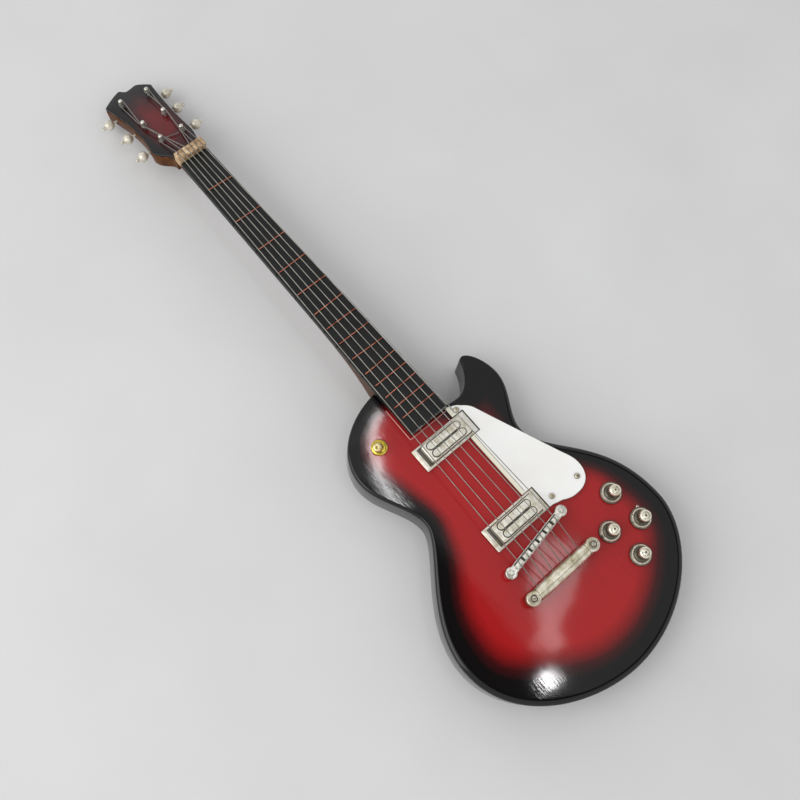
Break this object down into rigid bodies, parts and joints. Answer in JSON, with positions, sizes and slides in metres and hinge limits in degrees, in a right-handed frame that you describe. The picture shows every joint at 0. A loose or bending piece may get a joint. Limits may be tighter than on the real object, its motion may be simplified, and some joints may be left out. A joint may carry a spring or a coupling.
{
  "type": "miniature guitar",
  "caption": "Desk-size miniature of a single-cutaway electric guitar in red burst lacquer, with strings, turning keys and knobs and a tipping selector lever; rests on its back.",
  "frame": {"origin": "in the plane of the flat back, under the middle of the whole guitar's box", "axes": "+Y from the tail to the headstock, +X towards the treble side, +Z out of the top"},
  "size_m": [0.0822, 0.257, 0.0189],
  "materials": {
    "red_burst_lacquer": "clear high-gloss lacquer, red in the middle and black round the edge",
    "amber_lacquer": "clear gloss lacquer over amber-stained wood",
    "black_stained_wood": "satin black stain",
    "tan_bone": "mottled tan, bone-like",
    "copper_strip": "thin copper-coloured strip",
    "string_steel": "plain drawn wire",
    "bright_nickel": "bright nickel plating",
    "champagne_nickel": "soft warm nickel plating over a casting",
    "antique_nickel": "turned metal, darker plating in the recesses",
    "yellow_brass": "polished brass plating",
    "pearl_bead": "pearl silver gloss over a metal bead on its pin",
    "white_plastic": "glossy white with a chamfered edge"
  },
  "bodies": {
    "guitar": {"body": "red_burst_lacquer", "bridge": "bright_nickel", "bridge_pickup_base": "champagne_nickel", "bridge_pickup_cover": "champagne_nickel", "bridge_post_1": "bright_nickel", "bridge_post_2": "bright_nickel", "fingerboard": "black_stained_wood", "fret_01": "copper_strip", "fret_02": "copper_strip", "fret_03": "copper_strip", "fret_04": "copper_strip", "fret_05": "copper_strip", "fret_06": "copper_strip", "fret_07": "copper_strip", "fret_08": "copper_strip", "fret_09": "copper_strip", "fret_10": "copper_strip", "fret_11": "copper_strip", "fret_12": "copper_strip", "fret_13": "copper_strip", "fret_14": "copper_strip", "headstock_face": "red_burst_lacquer", "neck": "amber_lacquer", "neck_pickup_base": "champagne_nickel", "neck_pickup_cover": "champagne_nickel", "nut": "tan_bone", "pickguard": "white_plastic", "pickguard_screw_1": "bright_nickel", "pickguard_screw_2": "bright_nickel", "pickguard_screw_3": "bright_nickel", "string_1": "string_steel", "string_2": "string_steel", "string_3": "string_steel", "string_4": "string_steel", "string_5": "string_steel", "string_6": "string_steel", "string_post_1": "bright_nickel", "string_post_2": "bright_nickel", "string_post_3": "bright_nickel", "string_post_4": "bright_nickel", "string_post_5": "bright_nickel", "string_post_6": "bright_nickel", "switch_washer": "yellow_brass", "tailpiece": "champagne_nickel", "tailpiece_stud_1": "bright_nickel", "tailpiece_stud_2": "bright_nickel"},
    "knob_1": {"knob_1": "antique_nickel"},
    "knob_2": {"knob_2": "antique_nickel"},
    "knob_3": {"knob_3": "antique_nickel"},
    "knob_4": {"knob_4": "antique_nickel"},
    "switch_lever": {"switch_lever": "yellow_brass"},
    "tuner_key_1": {"tuner_key_1": "pearl_bead"},
    "tuner_key_2": {"tuner_key_2": "pearl_bead"},
    "tuner_key_3": {"tuner_key_3": "pearl_bead"},
    "tuner_key_4": {"tuner_key_4": "pearl_bead"},
    "tuner_key_5": {"tuner_key_5": "pearl_bead"},
    "tuner_key_6": {"tuner_key_6": "pearl_bead"}
  },
  "joints": [
    {"name": "knob_1_turn", "type": "hinge", "parent": "guitar", "child": "knob_1", "pos_m": [0.029, -0.08626, 0.0125], "axis": [0, 0, 1], "continuous": true},
    {"name": "knob_2_turn", "type": "hinge", "parent": "guitar", "child": "knob_2", "pos_m": [0.0306, -0.09786, 0.0125], "axis": [0, 0, 1], "continuous": true},
    {"name": "knob_3_turn", "type": "hinge", "parent": "guitar", "child": "knob_3", "pos_m": [0.0203, -0.09456, 0.0125], "axis": [0, 0, 1], "continuous": true},
    {"name": "knob_4_turn", "type": "hinge", "parent": "guitar", "child": "knob_4", "pos_m": [0.0226, -0.10566, 0.0125], "axis": [0, 0, 1], "continuous": true},
    {"name": "switch_flip", "type": "hinge", "parent": "guitar", "child": "switch_lever", "pos_m": [-0.0166, -0.02946, 0.0123], "axis": [0, 1, 0], "range_deg": [0, 36]},
    {"name": "tuner_key_1_turn", "type": "hinge", "parent": "guitar", "child": "tuner_key_1", "pos_m": [-0.0116, 0.09972, 0.00935], "axis": [-1, 0, 0], "continuous": true},
    {"name": "tuner_key_2_turn", "type": "hinge", "parent": "guitar", "child": "tuner_key_2", "pos_m": [-0.011, 0.10995, 0.00699], "axis": [-1, 0, 0], "continuous": true},
    {"name": "tuner_key_3_turn", "type": "hinge", "parent": "guitar", "child": "tuner_key_3", "pos_m": [-0.0122, 0.11989, 0.00469], "axis": [-1, 0, 0], "continuous": true},
    {"name": "tuner_key_4_turn", "type": "hinge", "parent": "guitar", "child": "tuner_key_4", "pos_m": [0.0098, 0.09924, 0.00946], "axis": [1, 0, 0], "continuous": true},
    {"name": "tuner_key_5_turn", "type": "hinge", "parent": "guitar", "child": "tuner_key_5", "pos_m": [0.0097, 0.10995, 0.00699], "axis": [1, 0, 0], "continuous": true},
    {"name": "tuner_key_6_turn", "type": "hinge", "parent": "guitar", "child": "tuner_key_6", "pos_m": [0.0107, 0.11843, 0.00503], "axis": [1, 0, 0], "continuous": true}
  ]
}
